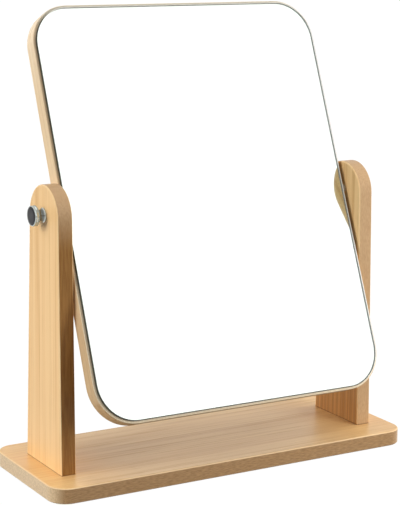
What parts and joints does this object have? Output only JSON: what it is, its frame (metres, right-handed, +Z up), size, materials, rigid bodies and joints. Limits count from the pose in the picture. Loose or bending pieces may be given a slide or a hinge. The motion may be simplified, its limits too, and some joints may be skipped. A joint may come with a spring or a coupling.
{
  "type": "tilting table mirror",
  "caption": "Rectangular tilting mirror with rounded corners, hung between two tapered wooden posts on a wooden base board, with round metal clamping knobs.",
  "frame": {"origin": "middle of the base board's footprint, at table level under the pads", "axes": "+Z up, X along the tilt axis and the mirror's width, -Y towards the person in front"},
  "size_m": [0.314, 0.1338, 0.3527],
  "materials": {
    "wood": "satin",
    "chrome": "polished",
    "dark_inlay": "gloss",
    "steel": "satin",
    "brass": "satin",
    "nylon": "matte",
    "silvered_glass": "polished",
    "mounting_tape": "matte",
    "pad_rubber": "matte"
  },
  "bodies": {
    "stand": {"base_board": "wood", "left_upright": "wood", "left_upright_screws": "steel", "left_upright_dowel": "wood", "right_upright": "wood", "right_upright_screws": "steel", "right_upright_dowel": "wood", "front_left_pad": "pad_rubber", "front_right_pad": "pad_rubber", "back_left_pad": "pad_rubber", "back_right_pad": "pad_rubber"},
    "mirror": {"mirror_board": "wood", "mirror_glass": "silvered_glass", "glass_tape": "mounting_tape", "left_insert_nut": "brass", "right_insert_nut": "brass", "left_friction_washer": "nylon", "right_friction_washer": "nylon"},
    "left_ferrule": {"left_ferrule": "chrome"},
    "left_knob": {"left_knob_head": "chrome", "left_knob_inlay": "dark_inlay", "left_pivot_stud": "steel"},
    "right_ferrule": {"right_ferrule": "chrome"},
    "right_knob": {"right_knob_head": "chrome", "right_knob_inlay": "dark_inlay", "right_pivot_stud": "steel"}
  },
  "joints": [
    {"name": "mirror_tilt", "type": "hinge", "parent": "stand", "child": "mirror", "pos_m": [0, 0, 0.204], "axis": [1, 0, 0], "continuous": true},
    {"name": "left_knob_travel", "type": "slide", "parent": "stand", "child": "left_ferrule", "axis": [-1, 0, 0], "range_m": [0, 0.0007]},
    {"name": "left_knob_turn", "type": "hinge", "parent": "left_ferrule", "child": "left_knob", "pos_m": [-0.1459, 0, 0.204], "axis": [-1, 0, 0], "range_deg": [0, 360]},
    {"name": "right_knob_travel", "type": "slide", "parent": "stand", "child": "right_ferrule", "axis": [1, 0, 0], "range_m": [0, 0.0007]},
    {"name": "right_knob_turn", "type": "hinge", "parent": "right_ferrule", "child": "right_knob", "pos_m": [0.1459, 0, 0.204], "axis": [1, 0, 0], "range_deg": [0, 360]}
  ],
  "couplings": [
    {"joint": "left_knob_travel", "follows": "left_knob_turn", "m_per_rad": 0.0001114},
    {"joint": "right_knob_travel", "follows": "right_knob_turn", "m_per_rad": 0.0001114}
  ]
}
